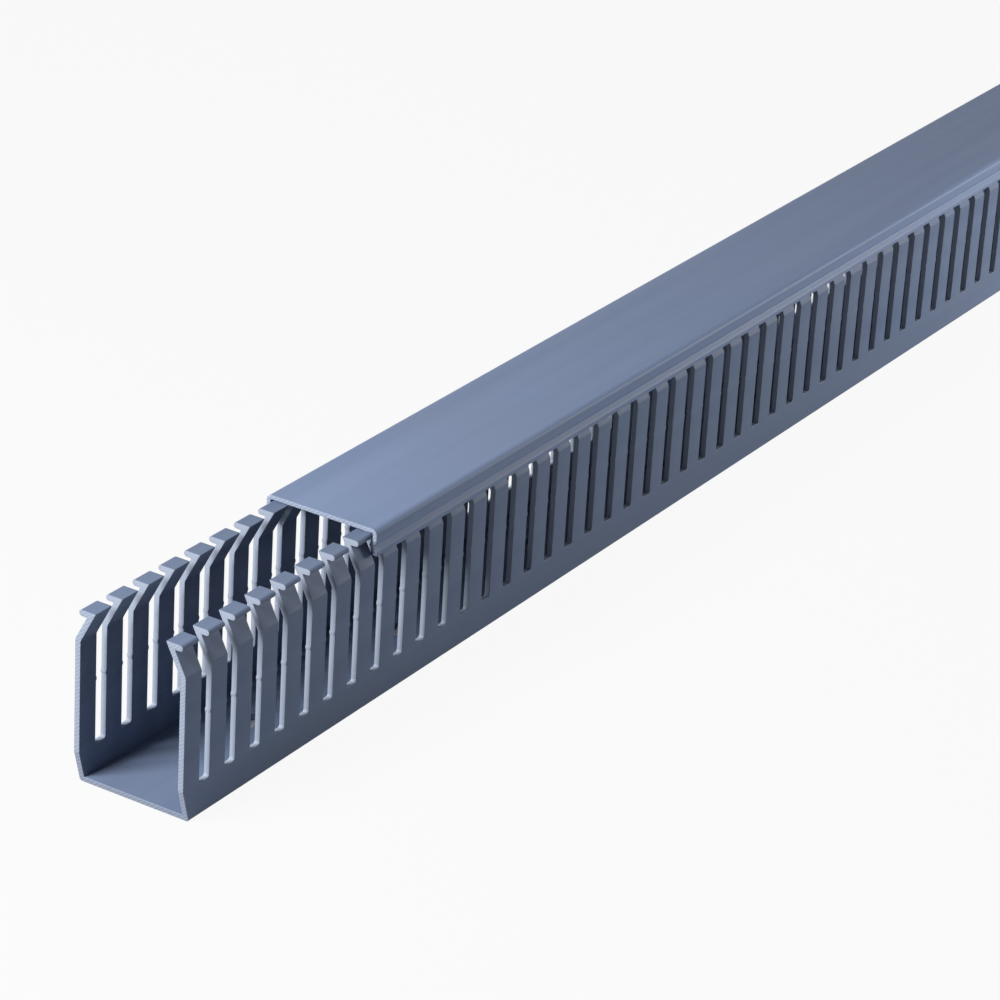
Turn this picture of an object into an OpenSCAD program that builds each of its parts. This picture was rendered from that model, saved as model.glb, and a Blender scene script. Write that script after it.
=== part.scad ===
// Slotted wire duct: an open channel whose walls are cut into fingers, with its clip-over cover slid back.
// X runs along the length, Y across it and Z up; the origin is the middle of the channel's underside.

/* [Channel] */
// Length of the channel
duct_l = 1000; // [400:50:1200]
// Width across the outer faces of the walls
duct_w = 40; // [34:1:60]
// Height from the underside to the top of the finger heads
duct_h = 58.2; // [40:0.1:80]
// Thickness of the base, walls and heads
wall_t = 2; // [1.4:0.1:2.6]

/* [Slots] */
// Distance from one slot to the next
slot_pitch = 12.5; // [10:0.5:16]
// Width of a slot
slot_w = 4.8; // [4.4:0.1:6]
// Height of the bottom of a slot above the underside
slot_sill = 11; // [6:0.5:16]
// Radius of the two bottom corners of a slot
slot_r = 0.8; // [0.3:0.1:1.6]
// Length of the first finger, at the open end
end_finger = 7.7; // [4:0.1:12]

/* [Finger heads] */
// Height of a head, from the shoulder to its top
head_h = 10.2; // [8.6:0.1:13]
// How far the neck leans in from the wall
head_lean = 4.8; // [3.8:0.1:6]
// How far the tip of the lip stands back from the outer face of the wall
lip_back = 1.3; // [0.6:0.1:1.8]

/* [Cover] */
// Length of the cover
cover_l = 1000; // [400:50:1200]
// Thickness of the cover
cover_t = 1.5; // [1:0.1:2]
// How far the cover is slid back from the open end
cover_back = 94.5; // [0:0.5:180]
// Clearance between the cover and the heads that it runs on
run_gap = 0.3; // [0.2:0.05:0.5]
// Outer radius of the two top edges of the cover
cover_r = 2; // [1.8:0.1:3]
// How far the snap ridge reaches in under the lip
snap_reach = 0.8; // [0.4:0.1:1.2]
// Drop from the middle of the lip to the middle of the snap ridge
snap_drop = 2.7; // [2.6:0.1:3.2]
// Height of the bend between the side of the cover and the snap ridge
snap_bend_h = 1.6; // [1:0.1:2.2]
// Height of the flare under the snap ridge
foot_h = 2.2; // [1.6:0.1:3]
// How far the foot flares out from the snap ridge
foot_flare = 1.4; // [0.6:0.1:1.8]
// Height of the upright foot at the bottom of the flare
foot_end = 1; // [0.4:0.1:1.4]

/* [Mounting holes] */
// Width of a mounting hole in the base
hole_w = 5.5; // [4:0.5:8]
// Length of a mounting hole, end to end
hole_l = 12; // [10:0.5:20]
// Distance from one mounting hole to the next
hole_pitch = 80; // [40:5:120]
// Least distance from the middle of a mounting hole to the end of the channel
hole_end = 55; // [20:1:60]

/* [Hidden] */
$fn = 48;
duct_colour = [0.36, 0.42, 0.52];
cover_colour = [0.46, 0.52, 0.63];
through = 1; // how far a cutter runs past the face that it cuts

wall_mid = duct_w / 2 - wall_t / 2;
lip_mid_z = duct_h - wall_t / 2;
lip_tip_y = duct_w / 2 - lip_back;
wall_path = [ // middle line of a wall, from the base to the tip of the lip
    [wall_mid, wall_t / 2],
    [wall_mid, duct_h - head_h],
    [wall_mid - head_lean, lip_mid_z],
    [lip_tip_y - wall_t / 2, lip_mid_z]
];

first_slot = end_finger + slot_w / 2 - duct_l / 2;
finger_l = slot_pitch - slot_w;
slot_n = floor((duct_l - end_finger - finger_l - slot_w) / slot_pitch) + 1;
hole_n = floor((duct_l - 2 * hole_end) / hole_pitch) + 1;

cover_top = duct_h + run_gap + cover_t;
side_mid = lip_tip_y + run_gap + cover_t / 2;
ridge_mid = lip_tip_y - snap_reach + cover_t / 2;
ridge_z = lip_mid_z - snap_drop;
bend_r = cover_r - cover_t / 2;
side_path = [ // middle line of a side of the cover, from the rounded top edge to the foot
    [side_mid, cover_top - cover_r],
    [side_mid, ridge_z + snap_bend_h],
    [ridge_mid, ridge_z],
    [ridge_mid + foot_flare, ridge_z - foot_h],
    [ridge_mid + foot_flare, ridge_z - foot_h - foot_end]
];

function unit(v) = v / norm(v);
function turned(v) = [-v[1], v[0]];
function beside(path, leg) = turned(unit(path[leg + 1] - path[leg]));

// The point beside bend i of a path, at a distance from both of the legs that meet there.
function mitre(path, i, distance) =
    let (
        before = beside(path, max(i - 1, 0)),
        after = beside(path, min(i, len(path) - 2)),
        way = unit(before + after)
    )
    path[i] + way * distance / (way * before);

// A strip of even thickness along a path, with mitred bends and square ends.
module bent_strip(path, thick) {
    last = len(path) - 1;
    polygon(concat(
        [for (i = [0 : last]) mitre(path, i, -thick / 2)],
        [for (i = [last : -1 : 0]) mitre(path, i, thick / 2)]
    ));
}

module both_sides() {
    children();
    mirror([1, 0]) children();
}

// Runs a section drawn in Y and Z along X, centred on the given place.
module along_x(middle, length) {
    translate([middle - length / 2, 0, 0])
        rotate([90, 0, 90])
            linear_extrude(height = length) children();
}

module slot_outline() {
    square_w = slot_w - 2 * slot_r;
    translate([-slot_w / 2, slot_sill + slot_r]) square([slot_w, duct_h + through - slot_sill - slot_r]);
    translate([-square_w / 2, slot_sill]) square([square_w, 2 * slot_r]);
    both_sides() translate([square_w / 2, slot_sill + slot_r]) circle(r = slot_r);
}

// Every slot, cut through both walls at once.
module slot_cuts() {
    rotate([90, 0, 0])
        linear_extrude(height = duct_w + 2 * through, center = true)
            for (i = [0 : slot_n - 1]) translate([first_slot + i * slot_pitch, 0]) slot_outline();
}

module hole_outline() {
    straight = hole_l - hole_w;
    square([straight, hole_w], center = true);
    both_sides() translate([straight / 2, 0]) circle(d = hole_w);
}

module hole_cuts() {
    translate([0, 0, -through])
        linear_extrude(height = wall_t + 2 * through)
            for (i = [0 : hole_n - 1]) translate([(i - (hole_n - 1) / 2) * hole_pitch, 0]) hole_outline();
}

module duct_section() {
    translate([-wall_mid, 0]) square([2 * wall_mid, wall_t]);
    both_sides() {
        bent_strip(wall_path, wall_t);
        translate(wall_path[0]) circle(d = wall_t);
        translate(wall_path[len(wall_path) - 1]) circle(d = wall_t);
    }
}

module duct() {
    color(duct_colour)
        difference() {
            along_x(0, duct_l) duct_section();
            slot_cuts();
            hole_cuts();
        }
}

// The rounded top edge of the cover, as a quarter of a ring.
module top_edge() {
    translate([side_mid - bend_r, cover_top - cover_r])
        intersection() {
            difference() {
                circle(r = cover_r);
                circle(r = cover_r - cover_t);
            }
            square(cover_r);
        }
}

module cover_section() {
    translate([bend_r - side_mid, cover_top - cover_t]) square([2 * (side_mid - bend_r), cover_t]);
    both_sides() {
        top_edge();
        bent_strip(side_path, cover_t);
    }
}

module cover() {
    color(cover_colour)
        along_x((cover_l - duct_l) / 2 + cover_back, cover_l) cover_section();
}

duct();
cover();
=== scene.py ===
import math

import bmesh
import bpy
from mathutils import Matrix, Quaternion, Vector


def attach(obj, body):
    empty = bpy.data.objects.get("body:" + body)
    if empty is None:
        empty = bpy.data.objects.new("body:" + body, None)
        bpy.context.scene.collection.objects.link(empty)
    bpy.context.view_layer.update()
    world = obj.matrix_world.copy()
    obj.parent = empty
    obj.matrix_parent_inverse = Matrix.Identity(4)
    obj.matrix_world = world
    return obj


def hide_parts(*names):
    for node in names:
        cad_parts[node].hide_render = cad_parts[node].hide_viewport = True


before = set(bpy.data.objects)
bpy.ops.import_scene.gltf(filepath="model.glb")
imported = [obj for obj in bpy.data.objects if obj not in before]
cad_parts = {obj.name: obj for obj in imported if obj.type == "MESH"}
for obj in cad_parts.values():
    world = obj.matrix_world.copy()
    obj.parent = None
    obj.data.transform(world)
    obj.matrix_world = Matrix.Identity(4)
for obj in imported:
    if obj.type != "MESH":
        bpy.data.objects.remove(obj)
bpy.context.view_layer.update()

mm = 0.001  # pieces are drawn in millimetres and made in metres

print("stage: camera")
cameraSetup = {
    "place": (-1.30846, -0.61328, 0.58036),  # metres
    "azimuth": -58.649,  # degrees round from the side that faces -Y
    "elevation": 25.188,
    "roll": 3.503,  # the camera leans slightly
    "lens": 143.12,  # millimetres, on a sensor of the width below
    "sensor": 36.0,
    "clip": (0.05, 60.0),
}


def placeCamera(c):
    azimuth, elevation = math.radians(c["azimuth"]), math.radians(c["elevation"])
    towardsCamera = Vector((
        math.sin(azimuth) * math.cos(elevation),
        -math.cos(azimuth) * math.cos(elevation),
        math.sin(elevation),
    ))
    data = bpy.data.cameras.new("mainCamera")
    data.lens = c["lens"]
    data.sensor_width = c["sensor"]
    data.clip_start, data.clip_end = c["clip"]
    camera = bpy.data.objects.new("mainCamera", data)
    camera.rotation_mode = "QUATERNION"
    look = (-towardsCamera).to_track_quat("-Z", "Y")
    camera.rotation_quaternion = look @ Quaternion((0, 0, 1), math.radians(c["roll"]))
    camera.location = c["place"]
    bpy.context.scene.collection.objects.link(camera)
    bpy.context.scene.camera = camera


placeCamera(cameraSetup)

# sections are drawn as paths in millimetres: across the duct, then up


def beside(path, leg):  # unit vector square to one leg of a path
    way = (path[leg + 1] - path[leg]).normalized()
    return Vector((-way.y, way.x))


def mitre(path, i, distance):  # the point beside bend i, at a distance from both legs
    before = beside(path, max(i - 1, 0))
    after = beside(path, min(i, len(path) - 2))
    way = (before + after).normalized()
    return path[i] + way * distance / way.dot(before)


def bentRows(path, thick, reach, steps):
    # matched points on both faces of a bent strip, with every bend eased over a short reach
    rows = []
    last = len(path) - 1
    for i in range(last + 1):
        faces = [mitre(path, i, -thick / 2), mitre(path, i, thick / 2)]
        if i in (0, last):
            rows.append(faces)
            continue
        into = (path[i] - path[i - 1]).normalized() * reach
        out = (path[i + 1] - path[i]).normalized() * reach
        for s in range(steps + 1):
            t = s / steps
            rows.append([
                (1 - t) ** 2 * (p - into) + 2 * t * (1 - t) * p + t ** 2 * (p + out)
                for p in faces
            ])
    return rows


def addPoint(mesh, x, y, z):
    return mesh.verts.new((x * mm, y * mm, z * mm))


def addFace(mesh, corners, **marks):  # marks say how far a face was punched or sawn, from 0 to 1; they set the pale cut tone, which is partly painted highlight
    face = mesh.faces.new(corners)
    for mark, amount in marks.items():
        face[mesh.faces.layers.float[mark]] = amount


brokenEdge = 0.6  # mark of the narrow slope beside a cut face; it gives the broken edge part of the pale cut tone, partly painted highlight along the edge


duct = {
    "length": 1000.0,  # this and all other sizes are in millimetres
    "width": 40.0,
    "height": 58.2,
    "thick": 2.0,
    "pitch": 12.5,
    "slotWidth": 4.8,
    "sill": 11.0,  # height of the bottom of a slot
    "slotRadius": 0.8,
    "cornerSteps": 4,
    "firstFinger": 7.7,  # length of the finger at the open end
    "trimBack": 3.0,  # the open end is cut back a little across its foot
    "trimHigh": 11.0,
    "headHeight": 10.2,
    "headLean": 4.8,
    "lipBack": 1.3,
    "bendReach": 0.45,  # how far each bend is eased
    "bendSteps": 3,
    "tipSteps": 6,  # round the tip of a lip
    "footSteps": 5,  # round a bottom edge of the base
    "edge": 0.14,  # broken edge left by punch and saw
    "nibHeight": 32.7,  # small nib left part way up each slot edge
    "nibLong": 1.5,
    "nibProud": 0.3,
    "nibFlat": 0.56,  # share of the nib's length that stands fully proud
    "holeWidth": 5.5,
    "holeLong": 12.0,
    "holePitch": 80.0,
    "holeEnd": 55.0,
    "holeSteps": 12,  # round each end of a hole
}


def slotMiddles(d):
    first = -d["length"] / 2 + d["firstFinger"] + d["slotWidth"] / 2
    number = int((d["length"] - d["firstFinger"] - d["pitch"]) // d["pitch"]) + 1
    return [first + i * d["pitch"] for i in range(number)]


def lipTip(d):  # middle of the rounded tip of a lip
    return Vector((d["width"] / 2 - d["lipBack"] - d["thick"] / 2, d["height"] - d["thick"] / 2))


def fingerRows(d):
    # rows up a finger: round the slot's bottom corner, past the nib, then up the bent head
    wall = (d["width"] - d["thick"]) / 2
    path = [
        Vector((wall, d["sill"])),
        Vector((wall, d["height"] - d["headHeight"])),
        Vector((wall - d["headLean"], d["height"] - d["thick"] / 2)),
        lipTip(d),
    ]
    rows = [("corner", math.radians(90) * s / d["cornerSteps"], None) for s in range(d["cornerSteps"] + 1)]
    halfNib = d["nibLong"] / 2
    halfFlat = halfNib * d["nibFlat"]
    for rise, proud in ((-halfNib, 0), (-halfFlat, d["nibProud"]), (halfFlat, d["nibProud"]), (halfNib, 0)):
        rows.append(("straight", d["nibHeight"] + rise, proud))
    for outer, inner in bentRows(path, d["thick"], d["bendReach"], d["bendSteps"])[1:]:
        rows.append(("bend", outer, inner))
    return rows


def edgePoints(d, row, edgeX, way, atSlot, side):
    # four points through the wall: front, front of the cut, back of the cut, back
    # way is 1 or -1, from the finger out past its edge
    half, t, c = d["width"] / 2, d["thick"], d["edge"]
    kind, first, second = row
    if kind == "bend":
        step = (second - first) * (c / t)
        across = (first, first + step, second - step, second)
        along = (edgeX - way * c, edgeX, edgeX, edgeX - way * c)
        return [(x, side * p.x, p.y) for x, p in zip(along, across)]
    if kind == "straight":
        cutX = edgeX + way * (second if atSlot else 0)
        faceX = cutX - way * c
        faceZ = cutZ = first
    else:
        r = d["slotRadius"]
        faceZ = cutZ = d["sill"] + r - (r + c) * math.cos(first)
        faceX, cutX = edgeX - way * c, edgeX
        if atSlot:
            slotHalf = d["slotWidth"] / 2
            slotMiddle = edgeX + way * slotHalf
            faceX = slotMiddle - way * (slotHalf - r + (r + c) * math.sin(first))
            cutX = slotMiddle - way * (slotHalf - r + r * math.sin(first))
            cutZ = d["sill"] + r - r * math.cos(first)
    return [
        (faceX, side * half, faceZ), (cutX, side * (half - c), cutZ),
        (cutX, side * (half - t + c), cutZ), (faceX, side * (half - t), faceZ),
    ]


def bandOutline(d, inset):
    # section below the slots: down the right face, under the base, up the left face, then along the inside
    half, t = d["width"] / 2, d["thick"]
    top = d["sill"] - d["edge"]
    corner = t / 2
    right = [(half - inset, top)]
    for k in range(d["footSteps"] + 1):
        angle = -math.radians(90) * k / d["footSteps"]
        right.append((
            half - corner + (corner - inset) * math.cos(angle),
            corner + (corner - inset) * math.sin(angle),
        ))
    inside = [(half - t + inset, t - inset), (half - t + inset, top)]
    left = [(-y, z) for y, z in reversed(right)]
    insideLeft = [(-y, z) for y, z in reversed(inside)]
    return right + left + insideLeft + inside


def bandTops(d):  # places in the outline of the top points of each wall, outer and inner, by side
    face = d["footSteps"] + 2
    return {1: (0, 2 * face + 3), -1: (2 * face - 1, 2 * face)}


def addBand(mesh, d, slots):
    # the base and the band under the slots, as rings from station to station
    startX, endX, c = -d["length"] / 2, d["length"] / 2, d["edge"]
    slotHalf = d["slotWidth"] / 2
    flatHalf = slotHalf - d["slotRadius"]
    stations = [startX + c]
    for x in slots:
        stations += [x - flatHalf, x + flatHalf]
    stations.append(endX - c)

    def trim(x, z):
        return d["trimBack"] * max(0, 1 - z / d["trimHigh"]) if x < slots[0] - slotHalf else 0

    outline, capOutline = bandOutline(d, 0), bandOutline(d, c)
    rings = [[addPoint(mesh, x + trim(x, z), y, z) for y, z in outline] for x in stations]
    caps = [[addPoint(mesh, x + trim(x, z), y, z) for y, z in capOutline] for x in (startX, endX)]
    sills = {}  # front and back of the cut at each end of a slot's flat bottom
    for k, x in enumerate(stations[1:-1], start=1):
        for side in (1, -1):
            sills[(k, side)] = [
                addPoint(mesh, x, side * y, d["sill"])
                for y in (d["width"] / 2 - c, d["width"] / 2 - d["thick"] + c)
            ]

    number = len(outline)
    tops = bandTops(d)
    wallTops = [set(pair) for pair in tops.values()]  # the fingers and the slots close these
    sides = [(i, (i + 1) % number) for i in range(number) if {i, (i + 1) % number} not in wallTops]
    for k, (a, b) in enumerate(zip(rings, rings[1:])):
        for i, j in sides:
            addFace(mesh, (a[i], a[j], b[j], b[i]))
        if k % 2 == 0:
            continue
        for side, (outer, inner) in tops.items():  # bottom of a slot
            frontA, backA = sills[(k, side)]
            frontB, backB = sills[(k + 1, side)]
            addFace(mesh, (a[outer], frontA, frontB, b[outer]), punched=brokenEdge)
            addFace(mesh, (frontA, backA, backB, frontB), punched=1.0)
            addFace(mesh, (backA, a[inner], b[inner], backB), punched=brokenEdge)
    for cap, ring in ((caps[0], rings[0]), (caps[1], rings[-1])):
        for i, j in sides:
            addFace(mesh, (cap[i], cap[j], ring[j], ring[i]), sawn=brokenEdge)
        addFace(mesh, cap, sawn=1.0)
    return rings, caps, sills


def addFinger(mesh, d, slots, band, f, side):
    rings, caps, sills = band
    outer, inner = bandTops(d)[side]
    slotHalf, c = d["slotWidth"] / 2, d["edge"]
    rows, tip, tipRadius = fingerRows(d), lipTip(d), d["thick"] / 2
    startX = -d["length"] / 2 if f == 0 else slots[f - 1] + slotHalf
    endX = d["length"] / 2 if f == len(slots) else slots[f] - slotHalf
    edges = (  # place along the duct, way out, whether a slot follows, and ring of the band below
        (startX, -1, f > 0, 2 * f),
        (endX, 1, f < len(slots), 2 * f + 1),
    )
    columns, lips = [], []
    for edgeX, way, atSlot, k in edges:
        cap = caps[0] if k == 0 else caps[1]
        cut = sills[(k, side)] if atSlot else [cap[outer], cap[inner]]
        column = [[rings[k][outer], *cut, rings[k][inner]]]
        for row in rows[1:]:
            column.append([addPoint(mesh, *p) for p in edgePoints(d, row, edgeX, way, atSlot, side)])
        lip, lipCut = [column[-1][0]], [column[-1][1]]  # from the underside of the lip round to its top
        for step in range(1, d["tipSteps"]):
            angle = math.radians(180) * step / d["tipSteps"] - math.radians(90)
            out = Vector((math.cos(angle), math.sin(angle)))
            facePoint, cutPoint = tip + out * tipRadius, tip + out * (tipRadius - c)
            lip.append(addPoint(mesh, edgeX - way * c, side * facePoint.x, facePoint.y))
            lipCut.append(addPoint(mesh, edgeX, side * cutPoint.x, cutPoint.y))
        lip.append(column[-1][3])
        lipCut.append(column[-1][2])
        mark = "punched" if atSlot else "sawn"
        columns.append((column, mark))
        lips.append((lip, lipCut, mark))

    (left, _), (right, _) = columns
    for i in range(len(rows) - 1):
        for q in (0, 3):
            addFace(mesh, (left[i][q], right[i][q], right[i + 1][q], left[i + 1][q]))
        for column, mark in columns:
            low, high = column[i], column[i + 1]
            for q, amount in enumerate((brokenEdge, 1.0, brokenEdge)):
                addFace(mesh, (low[q], low[q + 1], high[q + 1], high[q]), **{mark: amount})
    leftLip, rightLip = lips[0][0], lips[1][0]
    for i in range(d["tipSteps"]):
        addFace(mesh, (leftLip[i], rightLip[i], rightLip[i + 1], leftLip[i + 1]))
        for lip, lipCut, mark in lips:
            addFace(mesh, (lip[i], lip[i + 1], lipCut[i + 1], lipCut[i]), **{mark: brokenEdge})
    for lip, lipCut, mark in lips:
        addFace(mesh, lipCut, **{mark: 1.0})


def buildDuct(d):
    mesh = bmesh.new()
    for mark in ("punched", "sawn"):
        mesh.faces.layers.float.new(mark)
    slots = slotMiddles(d)
    band = addBand(mesh, d, slots)
    for f in range(len(slots) + 1):
        for side in (1, -1):
            addFinger(mesh, d, slots, band, f, side)
    bmesh.ops.recalc_face_normals(mesh, faces=mesh.faces)
    return mesh


def finishMesh(mesh, name, sharpAngle=50):
    loose = [v for v in mesh.verts if not v.link_faces]
    bmesh.ops.delete(mesh, geom=loose, context="VERTS")
    data = bpy.data.meshes.new(name)
    mesh.to_mesh(data)
    mesh.free()
    for polygon in data.polygons:
        polygon.use_smooth = True
    data.set_sharp_from_angle(angle=math.radians(sharpAngle))
    piece = bpy.data.objects.new(name, data)
    bpy.context.scene.collection.objects.link(piece)
    return piece


def punchHoles(piece, d):
    cutter = bmesh.new()
    past = 1.0  # how far the punch runs past both faces of the base
    radius = d["holeWidth"] / 2
    straight = d["holeLong"] / 2 - radius
    number = int((d["length"] - 2 * d["holeEnd"]) // d["holePitch"]) + 1
    for i in range(number):
        middle = (i - (number - 1) / 2) * d["holePitch"]
        outline = []
        for end, turn in ((1, -90), (-1, 90)):
            for k in range(d["holeSteps"] + 1):
                angle = math.radians(turn + 180 * k / d["holeSteps"])
                outline.append((middle + end * straight + radius * math.cos(angle), radius * math.sin(angle)))
        low = [addPoint(cutter, x, y, -past) for x, y in outline]
        high = [addPoint(cutter, x, y, d["thick"] + past) for x, y in outline]
        cutter.faces.new(low)
        cutter.faces.new(high)
        for k in range(len(low)):
            j = (k + 1) % len(low)
            cutter.faces.new((low[k], low[j], high[j], high[k]))
    bmesh.ops.recalc_face_normals(cutter, faces=cutter.faces)
    data = bpy.data.meshes.new("holePunch")
    cutter.to_mesh(data)
    cutter.free()
    punch = bpy.data.objects.new("holePunch", data)
    bpy.context.scene.collection.objects.link(punch)
    modifier = piece.modifiers.new("holes", "BOOLEAN")
    modifier.operation = "DIFFERENCE"
    modifier.solver = "EXACT"
    modifier.object = punch
    depsgraph = bpy.context.evaluated_depsgraph_get()
    punched = bpy.data.meshes.new_from_object(piece.evaluated_get(depsgraph))
    piece.modifiers.clear()
    piece.data = punched
    bpy.data.objects.remove(punch)


print("stage: duct")
ductPiece = finishMesh(buildDuct(duct), "ductShell")
punchHoles(ductPiece, duct)

cover = {
    "length": 1000.0,
    "back": 94.5,  # how far it is slid back from the open end
    "thick": 1.5,
    "runGap": 0.3,  # clearance between the cover and the heads it runs on
    "edgeRadius": 2.0,
    "edgeSteps": 6,
    "snapReach": 0.8,
    "snapDrop": 2.7,
    "snapBend": 1.6,
    "footHeight": 2.2,
    "footFlare": 1.4,
    "footEnd": 1.0,
    "bendReach": 0.5,
    "bendSteps": 3,
    "topSteps": 8,  # across the flat of the top
    "stretches": 20,  # along its length
    "edge": 0.14,
}


def coverRows(d, body):
    # matched outer and inner points, from one foot up over the top to the other foot
    t = d["thick"]
    tip = body["width"] / 2 - body["lipBack"]
    top = body["height"] + d["runGap"] + t
    side = tip + d["runGap"] + t / 2
    ridge = tip - d["snapReach"] + t / 2
    ridgeZ = body["height"] - body["thick"] / 2 - d["snapDrop"]
    footZ = ridgeZ - d["footHeight"]
    path = [
        Vector((ridge + d["footFlare"], footZ - d["footEnd"])),
        Vector((ridge + d["footFlare"], footZ)),
        Vector((ridge, ridgeZ)),
        Vector((side, ridgeZ + d["snapBend"])),
        Vector((side, top - d["edgeRadius"])),
    ]
    oneEdge = bentRows(path, t, d["bendReach"], d["bendSteps"])
    centre = Vector((side + t / 2 - d["edgeRadius"], top - d["edgeRadius"]))
    for k in range(1, d["edgeSteps"] + 1):
        angle = math.radians(90) * k / d["edgeSteps"]
        way = Vector((math.cos(angle), math.sin(angle)))
        oneEdge.append([centre + way * d["edgeRadius"], centre + way * (d["edgeRadius"] - t)])
    flat = []
    for k in range(1, d["topSteps"]):
        y = centre.x * (1 - 2 * k / d["topSteps"])
        flat.append([Vector((y, top)), Vector((y, top - t))])
    otherEdge = [[Vector((-p.x, p.y)) for p in row] for row in reversed(oneEdge)]
    return oneEdge + flat + otherEdge


def insetOutline(outline, distance, sharpest=0.5):  # sharpest keeps the inset short at a sharp corner
    inset = []
    for i, point in enumerate(outline):
        into = (point - outline[i - 1]).normalized()
        out = (outline[(i + 1) % len(outline)] - point).normalized()
        beforeLeg = Vector((-into.y, into.x))
        afterLeg = Vector((-out.y, out.x))
        way = (beforeLeg + afterLeg).normalized()
        inset.append(point + way * distance / max(way.dot(beforeLeg), sharpest))
    return inset


def buildCover(d, body):
    rows = coverRows(d, body)
    outline = [row[0] for row in rows] + [row[1] for row in reversed(rows)]
    capOutline = insetOutline(outline, d["edge"])
    startX = d["back"] - body["length"] / 2
    endX = startX + d["length"]
    stations = [startX + d["edge"]]
    stations += [startX + d["length"] * k / d["stretches"] for k in range(1, d["stretches"])]
    stations.append(endX - d["edge"])

    mesh = bmesh.new()
    for mark in ("punched", "sawn"):
        mesh.faces.layers.float.new(mark)
    number = len(outline)
    rings = [[addPoint(mesh, x, p.x, p.y) for p in outline] for x in stations]
    for a, b in zip(rings, rings[1:]):
        for i in range(number):
            j = (i + 1) % number
            addFace(mesh, (a[i], a[j], b[j], b[i]))
    for x, ring in ((startX, rings[0]), (endX, rings[-1])):
        cap = [addPoint(mesh, x, p.x, p.y) for p in capOutline]
        for i in range(number):
            j = (i + 1) % number
            addFace(mesh, (cap[i], cap[j], ring[j], ring[i]), sawn=brokenEdge)
        for i in range(len(rows) - 1):
            addFace(mesh, (cap[i], cap[i + 1], cap[number - 2 - i], cap[number - 1 - i]), sawn=1.0)
    bmesh.ops.recalc_face_normals(mesh, faces=mesh.faces)
    return mesh


print("stage: cover")
coverPiece = finishMesh(buildCover(cover, duct), "coverShell")


def linearColour(code):  # sRGB hex to linear
    values = [int(code[i:i + 2], 16) / 255 for i in (1, 3, 5)]
    return [v / 12.92 if v <= 0.04045 else ((v + 0.055) / 1.055) ** 2.4 for v in values] + [1.0]


def addNode(tree, kind, settings=None, links=None):
    # a setting is a socket's name or number, or else one of the node's own properties
    node = tree.nodes.new(kind)
    for name, value in (settings or {}).items():
        if isinstance(name, int) or name in node.inputs.keys():
            node.inputs[name].default_value = value
        else:
            setattr(node, name, value)
    for name, source in (links or {}).items():
        tree.links.new(source, node.inputs[name])
    return node


# the duct is the same PVC as the cover, but its tones are set darker than the cover's, partly as painted
# shade for its shaded walls and inside
ductPvc = {
    "darkTone": "#616f89",
    "lightTone": "#6a7891",
    "cloudTone": "#687286",
    "cloudAmount": 0.3,
    "lineTone": "#78859e",
    "lineAmount": 0.25,
    "paleCutAndHighlightTone": "#b9c1ce",  # punching and sawing whiten the PVC; this pale tone is also partly painted highlight for the light that catches the cut faces
    "paleCutAndHighlightAmount": 0.55,
    "sawTone": "#6d7990",
    "sawAmount": 0.4,
    "roughness": 0.46,
    "lineRoughness": (-0.05, 0.06),
    "cutRoughness": 0.16,
    "grainRoughness": 0.03,
    "ior": 1.53,
    "specular": 0.06,
    "dieLine": 1.1,  # mm; real ones are near 0.4 mm, drawn coarser so that they show
    "dieLong": 600.0,
    "flow": 9.0,
    "flowLong": 220.0,
    "cloud": 60.0,
    "grain": 0.5,
    "sawLine": 1.0,
    "sawLean": 38.0,  # degrees
    "lineDepth": 0.035,
    "grainDepth": 0.004,
    "sawDepth": 0.03,
}
coverPvc = dict(
    ductPvc,
    darkTone="#7282a0",
    lightTone="#7a8aa8",
    cloudTone="#7985a0",
    lineTone="#8796b2",
    roughness=0.42,
)


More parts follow.
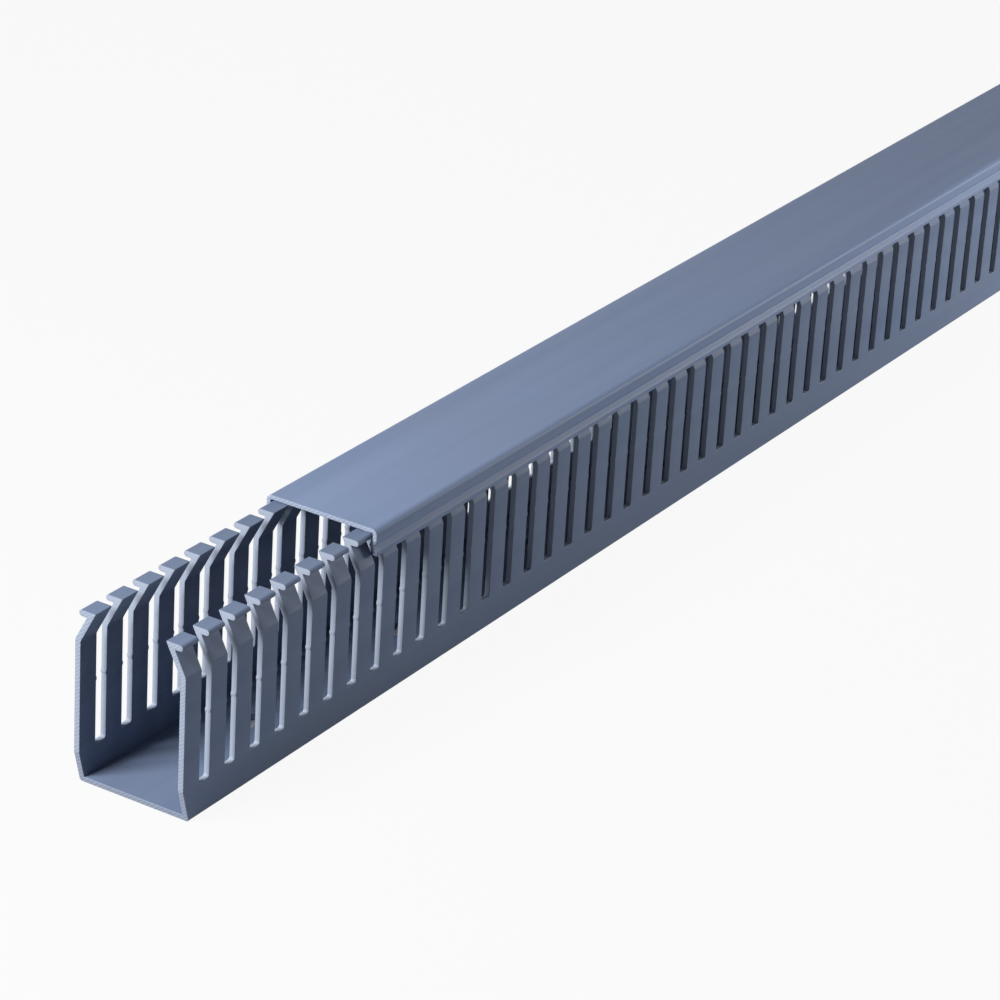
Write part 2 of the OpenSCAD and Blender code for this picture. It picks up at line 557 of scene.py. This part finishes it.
def extrudedPvc(name, look):
    # rigid PVC, extruded: a satin blue-grey skin with faint die lines along its length
    # where it is punched or sawn it is paler and duller, the paleness partly painted highlight for the light
    # that catches cut faces, and a sawn end shows fine saw lines
    material = bpy.data.materials.new(name)
    material.use_nodes = True
    tree = material.node_tree
    tree.nodes.clear()
    place = addNode(tree, "ShaderNodeTexCoord").outputs["Object"]
    punched = addNode(tree, "ShaderNodeAttribute", {"attribute_name": "punched"}).outputs["Fac"]
    sawn = addNode(tree, "ShaderNodeAttribute", {"attribute_name": "sawn"}).outputs["Fac"]
    cutFace = addNode(tree, "ShaderNodeMath", {"operation": "MAXIMUM"}, {0: punched, 1: sawn}).outputs[0]

    noise = {}  # each pattern by the size of its cells in millimetres, along, across and up
    for pattern, sizes, detail in (
        ("dieLines", (look["dieLong"], look["dieLine"], look["dieLine"]), 3),
        ("flow", (look["flowLong"], look["flow"], look["flow"]), 2),
        ("clouds", (look["cloud"], look["cloud"], look["cloud"]), 2),
        ("grain", (look["grain"], look["grain"], look["grain"]), 1),
    ):
        cells = addNode(
            tree, "ShaderNodeMapping", {"Scale": [1 / (size * mm) for size in sizes]}, {"Vector": place})
        noise[pattern] = addNode(
            tree, "ShaderNodeTexNoise", {"Scale": 1.0, "Detail": detail, "Roughness": 0.5},
            {"Vector": cells.outputs[0]}).outputs["Fac"]
    cells = addNode(
        tree, "ShaderNodeMapping",
        {"Rotation": (math.radians(look["sawLean"]), 0, 0), "Scale": [1 / (look["sawLine"] * mm)] * 3},
        {"Vector": place})
    oneBand = 0.32  # wave scale at which each cell holds about one band
    sawLines = addNode(
        tree, "ShaderNodeTexWave",
        {"wave_type": "BANDS", "bands_direction": "Z", "Scale": oneBand,
         "Distortion": 2.0, "Detail": 2.0, "Detail Scale": 2.0},
        {"Vector": cells.outputs[0]}).outputs["Fac"]
    sawMarks = addNode(tree, "ShaderNodeMath", {"operation": "MULTIPLY"}, {0: sawLines, 1: sawn}).outputs[0]

    # colour: the pigment drifts along the extrusion, with faint clouds and die lines
    drift = addNode(tree, "ShaderNodeMapRange", {"From Min": 0.3, "From Max": 0.7}, {"Value": noise["flow"]})
    clouds = addNode(
        tree, "ShaderNodeMapRange", {"From Min": 0.35, "From Max": 0.65, "To Max": look["cloudAmount"]},
        {"Value": noise["clouds"]})
    lines = addNode(
        tree, "ShaderNodeMapRange", {"From Min": 0.55, "From Max": 0.75, "To Max": look["lineAmount"]},
        {"Value": noise["dieLines"]})
    # cut faces and their broken edges made paler: whitened PVC, and partly painted highlight for the light
    # that catches them
    paleCutsAndHighlight = addNode(tree, "ShaderNodeMath", {"operation": "MULTIPLY", 1: look["paleCutAndHighlightAmount"]}, {0: cutFace})
    saws = addNode(tree, "ShaderNodeMath", {"operation": "MULTIPLY", 1: look["sawAmount"]}, {0: sawMarks})
    colour = addNode(
        tree, "ShaderNodeMix",
        {"data_type": "RGBA", 6: linearColour(look["darkTone"]), 7: linearColour(look["lightTone"])},
        {0: drift.outputs[0]}).outputs[2]
    for share, tone in ((clouds, "cloudTone"), (lines, "lineTone"), (paleCutsAndHighlight, "paleCutAndHighlightTone"), (saws, "sawTone")):
        colour = addNode(
            tree, "ShaderNodeMix", {"data_type": "RGBA", 7: linearColour(look[tone])},
            {0: share.outputs[0], 6: colour}).outputs[2]

    # roughness: it varies from line to line and with the grain, and cut faces are duller
    smoothest, roughest = [look["roughness"] + change for change in look["lineRoughness"]]
    roughness = addNode(
        tree, "ShaderNodeMapRange",
        {"From Min": 0.3, "From Max": 0.7, "To Min": smoothest, "To Max": roughest},
        {"Value": noise["dieLines"]}).outputs[0]
    roughness = addNode(
        tree, "ShaderNodeMath", {"operation": "MULTIPLY_ADD", 1: look["cutRoughness"]},
        {0: cutFace, 2: roughness}).outputs[0]
    duller = look["grainRoughness"]
    grain = addNode(
        tree, "ShaderNodeMapRange",
        {"From Min": 0.3, "From Max": 0.7, "To Min": -duller, "To Max": duller},
        {"Value": noise["grain"]})
    roughness = addNode(
        tree, "ShaderNodeMath", {"operation": "ADD"}, {0: roughness, 1: grain.outputs[0]}).outputs[0]

    # relief, in metres: die lines, fine grain and saw lines
    relief = addNode(
        tree, "ShaderNodeMath", {"operation": "MULTIPLY", 1: look["lineDepth"] * mm},
        {0: noise["dieLines"]}).outputs[0]
    for source, depth in ((noise["grain"], "grainDepth"), (sawMarks, "sawDepth")):
        relief = addNode(
            tree, "ShaderNodeMath", {"operation": "MULTIPLY_ADD", 1: look[depth] * mm},
            {0: source, 2: relief}).outputs[0]
    bump = addNode(tree, "ShaderNodeBump", {"Strength": 1.0, "Distance": 1.0}, {"Height": relief})

    shader = addNode(
        tree, "ShaderNodeBsdfPrincipled",
        {"Metallic": 0.0, "IOR": look["ior"], "Specular IOR Level": look["specular"]},
        {"Base Color": colour, "Roughness": roughness, "Normal": bump.outputs[0]})
    addNode(tree, "ShaderNodeOutputMaterial", None, {"Surface": shader.outputs[0]})
    return material


print("stage: materials")
for piece, name, look in (
    (ductPiece, "ductExtrudedPvc", ductPvc),
    (coverPiece, "coverExtrudedPvc", coverPvc),
):
    piece.data.materials.clear()
    piece.data.materials.append(extrudedPvc(name, look))
    weighted = piece.modifiers.new("evenNormals", "WEIGHTED_NORMAL")
    weighted.keep_sharp = True

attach(ductPiece, "duct")
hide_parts("duct")
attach(coverPiece, "cover")
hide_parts("cover")

print("stage: floor and light")
studio = {
    "floorTone": "#9fa1a6",
    "floorWhite": 0.93,  # how much of plain white the camera sees on the floor
    "floorHalf": (8.0, 8.0),  # half the length and width, in metres
    "floorDrop": 0.0003,
    "shadedHalf": (0.495, 0.018),  # the paper right under the duct
    "shadedDrop": 0.0002,
    "ambient": 0.045,
    "lamps": (
        {
            "name": "keyPanel",
            "place": (-1.00, 0.24, 0.60),
            "aim": (-0.10, 0.0, 0.03),
            "size": (0.35, 0.35),
            "watts": 12.6,
        },
        {
            "name": "frontPanel",
            "place": (0.55, -0.55, 0.15),
            "aim": (0.26, 0.0, 0.03),
            "size": (0.5, 0.2),
            "watts": 7.2,
        },
    ),
}


def whiteForCamera(tree):  # 1 for rays that show the background, 0 for rays that light the duct
    rays = addNode(tree, "ShaderNodeLightPath").outputs
    seen = addNode(
        tree, "ShaderNodeMath", {"operation": "MAXIMUM"},
        {0: rays["Is Camera Ray"], 1: rays["Is Glossy Ray"]})
    return addNode(
        tree, "ShaderNodeMath", {"operation": "MAXIMUM"},
        {0: seen.outputs[0], 1: rays["Is Transmission Ray"]}).outputs[0]


def mattPaper(name, tone, whiteness):
    # matt paper sweep: no gloss, and near white to the camera where whiteness is above 0
    material = bpy.data.materials.new(name)
    material.use_nodes = True
    tree = material.node_tree
    tree.nodes.clear()
    surface = addNode(tree, "ShaderNodeBsdfDiffuse", {"Color": linearColour(tone)})
    if whiteness:
        glow = addNode(tree, "ShaderNodeEmission", {"Color": (1, 1, 1, 1), "Strength": 1.0})
        share = addNode(
            tree, "ShaderNodeMath", {"operation": "MULTIPLY", 1: whiteness}, {0: whiteForCamera(tree)})
        surface = addNode(
            tree, "ShaderNodeMixShader", None,
            {0: share.outputs[0], 1: surface.outputs[0], 2: glow.outputs[0]})
    addNode(tree, "ShaderNodeOutputMaterial", None, {"Surface": surface.outputs[0]})
    return material


def laySheet(name, half, drop, material):
    mesh = bmesh.new()
    corners = [(x * half[0], y * half[1], -drop) for x, y in ((-1, -1), (1, -1), (1, 1), (-1, 1))]
    mesh.faces.new([mesh.verts.new(corner) for corner in corners])
    data = bpy.data.meshes.new(name)
    mesh.to_mesh(data)
    mesh.free()
    data.materials.append(material)
    sheet = bpy.data.objects.new(name, data)
    bpy.context.scene.collection.objects.link(sheet)


def lightWorld(ambient):
    world = bpy.data.worlds.new("studioWorld")
    bpy.context.scene.world = world
    world.use_nodes = True
    tree = world.node_tree
    tree.nodes.clear()
    strength = addNode(
        tree, "ShaderNodeMapRange", {"To Min": ambient, "To Max": 1.0}, {"Value": whiteForCamera(tree)})
    sky = addNode(tree, "ShaderNodeBackground", {"Color": (1, 1, 1, 1)}, {"Strength": strength.outputs[0]})
    addNode(tree, "ShaderNodeOutputWorld", None, {"Surface": sky.outputs[0]})


def hangLamp(lamp):
    light = bpy.data.lights.new(lamp["name"], "AREA")
    light.shape = "RECTANGLE"
    light.size, light.size_y = lamp["size"]
    light.energy = lamp["watts"]
    holder = bpy.data.objects.new(lamp["name"], light)
    holder.location = lamp["place"]
    holder.visible_camera = False
    holder.rotation_mode = "QUATERNION"
    holder.rotation_quaternion = (Vector(lamp["aim"]) - Vector(lamp["place"])).to_track_quat("-Z", "Y")
    bpy.context.scene.collection.objects.link(holder)


laySheet("studioFloor", studio["floorHalf"], studio["floorDrop"],
         mattPaper("paperSweep", studio["floorTone"], studio["floorWhite"]))
# the paper under the duct lies in its shade, which shows through the base holes
laySheet("shadedPaper", studio["shadedHalf"], studio["shadedDrop"],
         mattPaper("paperInShade", studio["floorTone"], 0))
lightWorld(studio["ambient"])
for lamp in studio["lamps"]:
    hangLamp(lamp)
bpy.context.scene.view_settings.view_transform = "Standard"

print("stage: done")
